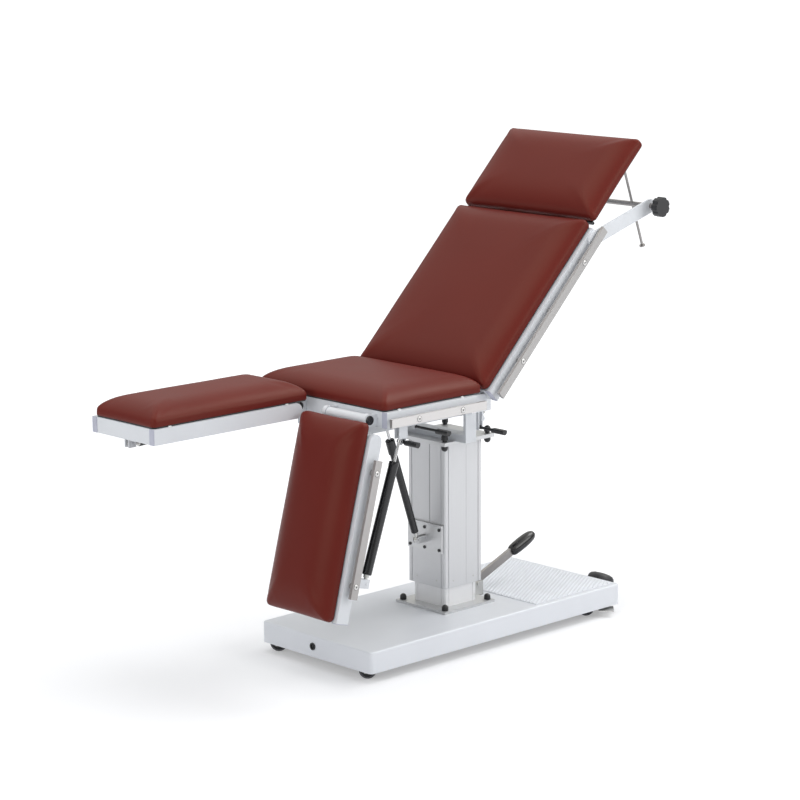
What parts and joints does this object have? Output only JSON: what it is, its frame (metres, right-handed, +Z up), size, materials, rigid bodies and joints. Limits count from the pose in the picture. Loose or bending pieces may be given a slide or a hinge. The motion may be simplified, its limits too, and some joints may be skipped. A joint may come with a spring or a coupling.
{
  "type": "operating table",
  "caption": "Operating table on a lifting column, with hinged back, head and split leg sections, foot pump pedal, accessory rails and upholstered pads.",
  "frame": {"origin": "on the floor, under the middle of the bounding box of the table in its stored pose; the column's axis stands at x = 0.2253 m, y = 0.0130 m", "axes": "+X towards the head end, +Y towards the far side, with the level leg section, +Z up"},
  "size_m": [1.7534, 0.646, 1.475],
  "materials": {
    "cover_paint": "satin",
    "chassis_steel": "satin",
    "tread_rubber": "matte",
    "socket_black": "satin",
    "zinc_steel": "satin",
    "polished_steel": "polished",
    "anodised_aluminium": "satin",
    "rail_steel": "satin",
    "frame_paint": "satin",
    "black_paint": "satin",
    "lever_steel": "satin",
    "black_plastic": "satin",
    "wheel_rubber": "matte",
    "leatherette": "satin"
  },
  "bodies": {
    "base": {"base_cover": "cover_paint", "chassis_frame": "chassis_steel", "tread_mat": "tread_rubber", "earth_socket": "socket_black", "column_foot_plate": "zinc_steel", "foot_plate_nuts": "polished_steel", "inner_column": "anodised_aluminium", "hydraulic_unit": "black_paint", "lowering_pedal_pin": "zinc_steel"},
    "pump_pedal": {"pump_lever": "lever_steel", "pump_pedal_grip": "black_plastic"},
    "lowering_pedal": {"lowering_pedal": "black_plastic"},
    "caster_foot_near": {"caster_fork_foot_near": "zinc_steel"},
    "wheel_foot_near": {"caster_wheel_foot_near": "wheel_rubber"},
    "caster_foot_far": {"caster_fork_foot_far": "zinc_steel"},
    "wheel_foot_far": {"caster_wheel_foot_far": "wheel_rubber"},
    "caster_head_near": {"caster_fork_head_near": "zinc_steel"},
    "wheel_head_near": {"caster_wheel_head_near": "wheel_rubber"},
    "caster_head_far": {"caster_fork_head_far": "zinc_steel"},
    "wheel_head_far": {"caster_wheel_head_far": "wheel_rubber"},
    "brake_pedal": {"brake_pedal": "lever_steel"},
    "lift": {"outer_column": "anodised_aluminium", "column_top_plate": "zinc_steel", "piston_rod": "polished_steel", "column_fasteners": "polished_steel", "strut_bracket_plate": "zinc_steel", "tilt_yoke": "zinc_steel"},
    "seat": {"tilt_axle": "zinc_steel", "seat_frame": "frame_paint", "seat_cradle": "zinc_steel", "leg_hinge_collars": "zinc_steel", "seat_rails": "rail_steel", "seat_pad": "leatherette"},
    "tilt_release_lever": {"tilt_release_lever": "lever_steel"},
    "back_release_lever": {"back_release_lever": "lever_steel"},
    "leg_release_lever_near": {"leg_release_lever_near": "lever_steel"},
    "leg_release_lever_far": {"leg_release_lever_far": "lever_steel"},
    "tilt_spring": {"tilt_spring_tube": "black_paint"},
    "tilt_spring_piston": {"tilt_spring_rod": "polished_steel"},
    "leg_near": {"leg_frame_near": "frame_paint", "leg_pad_near": "leatherette", "leg_rail_near": "rail_steel"},
    "leg_spring_near": {"leg_spring_tube_near": "black_paint"},
    "leg_spring_piston_near": {"leg_spring_rod_near": "polished_steel"},
    "leg_far": {"leg_frame_far": "frame_paint", "leg_pad_far": "leatherette", "leg_rail_far": "rail_steel"},
    "leg_spring_far": {"leg_spring_tube_far": "black_paint"},
    "leg_spring_piston_far": {"leg_spring_rod_far": "polished_steel"},
    "back": {"back_frame": "frame_paint", "back_pad": "leatherette", "back_rails": "rail_steel", "head_arms": "zinc_steel"},
    "back_spring": {"back_spring_tube": "black_paint"},
    "back_spring_piston": {"back_spring_rod": "polished_steel"},
    "head": {"head_frame": "frame_paint", "head_pad": "leatherette"},
    "cross_tube": {"cross_tube": "polished_steel"},
    "head_prop": {"head_prop_rod": "polished_steel"},
    "clamp_knob": {"clamp_knob": "black_plastic"}
  },
  "joints": [
    {"name": "caster_swivel_foot_near", "type": "hinge", "parent": "base", "child": "caster_foot_near", "pos_m": [-0.26116, -0.1795, 0.06], "axis": [0, 0, 1], "continuous": true},
    {"name": "wheel_turn_foot_near", "type": "hinge", "parent": "caster_foot_near", "child": "wheel_foot_near", "pos_m": [-0.26964, -0.17102, 0.026], "axis": [-0.7071, -0.7071, 0], "continuous": true},
    {"name": "caster_swivel_foot_far", "type": "hinge", "parent": "base", "child": "caster_foot_far", "pos_m": [-0.26116, 0.2055, 0.06], "axis": [0, 0, 1], "continuous": true},
    {"name": "wheel_turn_foot_far", "type": "hinge", "parent": "caster_foot_far", "child": "wheel_foot_far", "pos_m": [-0.26964, 0.21399, 0.026], "axis": [-0.7071, -0.7071, 0], "continuous": true},
    {"name": "caster_swivel_head_near", "type": "hinge", "parent": "base", "child": "caster_head_near", "pos_m": [0.66534, -0.1795, 0.06], "axis": [0, 0, 1], "continuous": true},
    {"name": "wheel_turn_head_near", "type": "hinge", "parent": "caster_head_near", "child": "wheel_head_near", "pos_m": [0.65686, -0.17102, 0.026], "axis": [-0.7071, -0.7071, 0], "continuous": true},
    {"name": "caster_swivel_head_far", "type": "hinge", "parent": "base", "child": "caster_head_far", "pos_m": [0.66534, 0.2055, 0.06], "axis": [0, 0, 1], "continuous": true},
    {"name": "wheel_turn_head_far", "type": "hinge", "parent": "caster_head_far", "child": "wheel_head_far", "pos_m": [0.65686, 0.21399, 0.026], "axis": [-0.7071, -0.7071, 0], "continuous": true},
    {"name": "brake_press", "type": "hinge", "parent": "caster_head_near", "child": "brake_pedal", "pos_m": [0.6809, -0.19506, 0.046], "axis": [0.7071, 0.7071, 0], "range_deg": [0, 10]},
    {"name": "pump_stroke", "type": "hinge", "parent": "base", "child": "pump_pedal", "pos_m": [0.34735, 0.013, 0.13], "axis": [0, 1, 0], "range_deg": [0, 16], "stiffness_Nm_per_rad": 6, "springref_deg": -20.05},
    {"name": "lowering_press", "type": "hinge", "parent": "base", "child": "lowering_pedal", "pos_m": [0.72335, -0.099, 0.062], "axis": [0, 1, 0], "range_deg": [0, 8], "stiffness_Nm_per_rad": 20, "springref_deg": -3.44},
    {"name": "column_lift", "type": "slide", "parent": "base", "child": "lift", "axis": [0, 0, 1], "range_m": [0, 0.22]},
    {"name": "table_tilt", "type": "hinge", "parent": "lift", "child": "seat", "pos_m": [0.18535, 0.013, 0.72], "axis": [0, 1, 0], "range_deg": [-10, 15]},
    {"name": "tilt_release_press", "type": "hinge", "parent": "seat", "child": "tilt_release_lever", "pos_m": [0.07534, -0.012, 0.663], "axis": [-1, 0, 0], "range_deg": [0, 6], "stiffness_Nm_per_rad": 2, "springref_deg": -5.73},
    {"name": "back_release_press", "type": "hinge", "parent": "seat", "child": "back_release_lever", "pos_m": [0.24335, -0.114, 0.65], "axis": [-1, 0, 0], "range_deg": [0, 6], "stiffness_Nm_per_rad": 2, "springref_deg": -5.73},
    {"name": "leg_release_press_near", "type": "hinge", "parent": "seat", "child": "leg_release_lever_near", "pos_m": [-0.18665, -0.233, 0.69], "axis": [-1, 0, 0], "range_deg": [0, 6], "stiffness_Nm_per_rad": 2, "springref_deg": -5.73},
    {"name": "leg_release_press_far", "type": "hinge", "parent": "seat", "child": "leg_release_lever_far", "pos_m": [-0.18665, 0.259, 0.69], "axis": [1, 0, 0], "range_deg": [0, 6], "stiffness_Nm_per_rad": 2, "springref_deg": -5.73},
    {"name": "tilt_spring_swing", "type": "hinge", "parent": "lift", "child": "tilt_spring", "pos_m": [0.10734, 0.013, 0.308], "axis": [0, 1, 0], "range_deg": [-2, 3]},
    {"name": "tilt_spring_stroke", "type": "slide", "parent": "tilt_spring", "child": "tilt_spring_piston", "axis": [-0.3234, 0, 0.9463], "range_m": [-0.037, 0.055]},
    {"name": "leg_raise_near", "type": "hinge", "parent": "seat", "child": "leg_near", "pos_m": [-0.30466, -0.135, 0.7675], "axis": [0, 1, 0], "range_deg": [0, 75]},
    {"name": "leg_spring_swing_near", "type": "hinge", "parent": "leg_near", "child": "leg_spring_near", "pos_m": [-0.35235, -0.249, 0.3113], "axis": [0, 1, 0], "range_deg": [-6, 0]},
    {"name": "leg_spring_stroke_near", "type": "slide", "parent": "leg_spring_near", "child": "leg_spring_piston_near", "axis": [0.3373, 0, 0.9414], "range_m": [0, 0.1287]},
    {"name": "leg_raise_far", "type": "hinge", "parent": "seat", "child": "leg_far", "pos_m": [-0.30466, 0.161, 0.7675], "axis": [0, 1, 0], "range_deg": [-75, 0]},
    {"name": "leg_spring_swing_far", "type": "hinge", "parent": "leg_far", "child": "leg_spring_far", "pos_m": [-0.75765, 0.275, 0.6955], "axis": [0, 1, 0], "range_deg": [0, 9]},
    {"name": "leg_spring_stroke_far", "type": "slide", "parent": "leg_spring_far", "child": "leg_spring_piston_far", "axis": [0.9992, 0, 0.0408], "range_m": [-0.1154, 0]},
    {"name": "back_raise", "type": "hinge", "parent": "seat", "child": "back", "pos_m": [0.13934, 0.013, 0.7675], "axis": [0, -1, 0], "range_deg": [-45, 0]},
    {"name": "back_spring_swing", "type": "hinge", "parent": "seat", "child": "back_spring", "pos_m": [0.26534, -0.097, 0.672], "axis": [0, -1, 0], "range_deg": [-50, 0]},
    {"name": "back_spring_stroke", "type": "slide", "parent": "back_spring", "child": "back_spring_piston", "axis": [0.476, 0, 0.8794], "range_m": [-0.121, 0]},
    {"name": "head_raise", "type": "hinge", "parent": "back", "child": "head", "pos_m": [0.59543, 0.013, 1.22358], "axis": [0, -1, 0], "range_deg": [-15, 15]},
    {"name": "cross_tube_turn", "type": "hinge", "parent": "back", "child": "cross_tube", "pos_m": [0.81958, 0.013, 1.27096], "axis": [0, -1, 0], "range_deg": [-12, 12]},
    {"name": "head_prop_stroke", "type": "slide", "parent": "cross_tube", "child": "head_prop", "axis": [-0.3399, 0, 0.9405], "range_m": [-0.06, 0.06]},
    {"name": "clamp_knob_turn", "type": "hinge", "parent": "cross_tube", "child": "clamp_knob", "pos_m": [0.81958, -0.303, 1.27096], "axis": [0, -1, 0], "range_deg": [0, 90]}
  ],
  "couplings": [
    {"joint": "tilt_spring_swing", "follows": "table_tilt", "ratio": 0.1518},
    {"joint": "tilt_spring_stroke", "follows": "table_tilt", "m_per_rad": 0.20824},
    {"joint": "leg_spring_swing_near", "follows": "leg_raise_near", "ratio": -0.0793},
    {"joint": "leg_spring_stroke_near", "follows": "leg_raise_near", "m_per_rad": 0.09755},
    {"joint": "leg_spring_swing_far", "follows": "leg_raise_far", "ratio": -0.1144},
    {"joint": "leg_spring_stroke_far", "follows": "leg_raise_far", "m_per_rad": 0.08737},
    {"joint": "back_spring_swing", "follows": "back_raise", "ratio": 1.0912},
    {"joint": "back_spring_stroke", "follows": "back_raise", "m_per_rad": 0.1531},
    {"joint": "cross_tube_turn", "follows": "head_raise", "ratio": 0.745},
    {"joint": "head_prop_stroke", "follows": "head_raise", "m_per_rad": 0.2273}
  ]
}
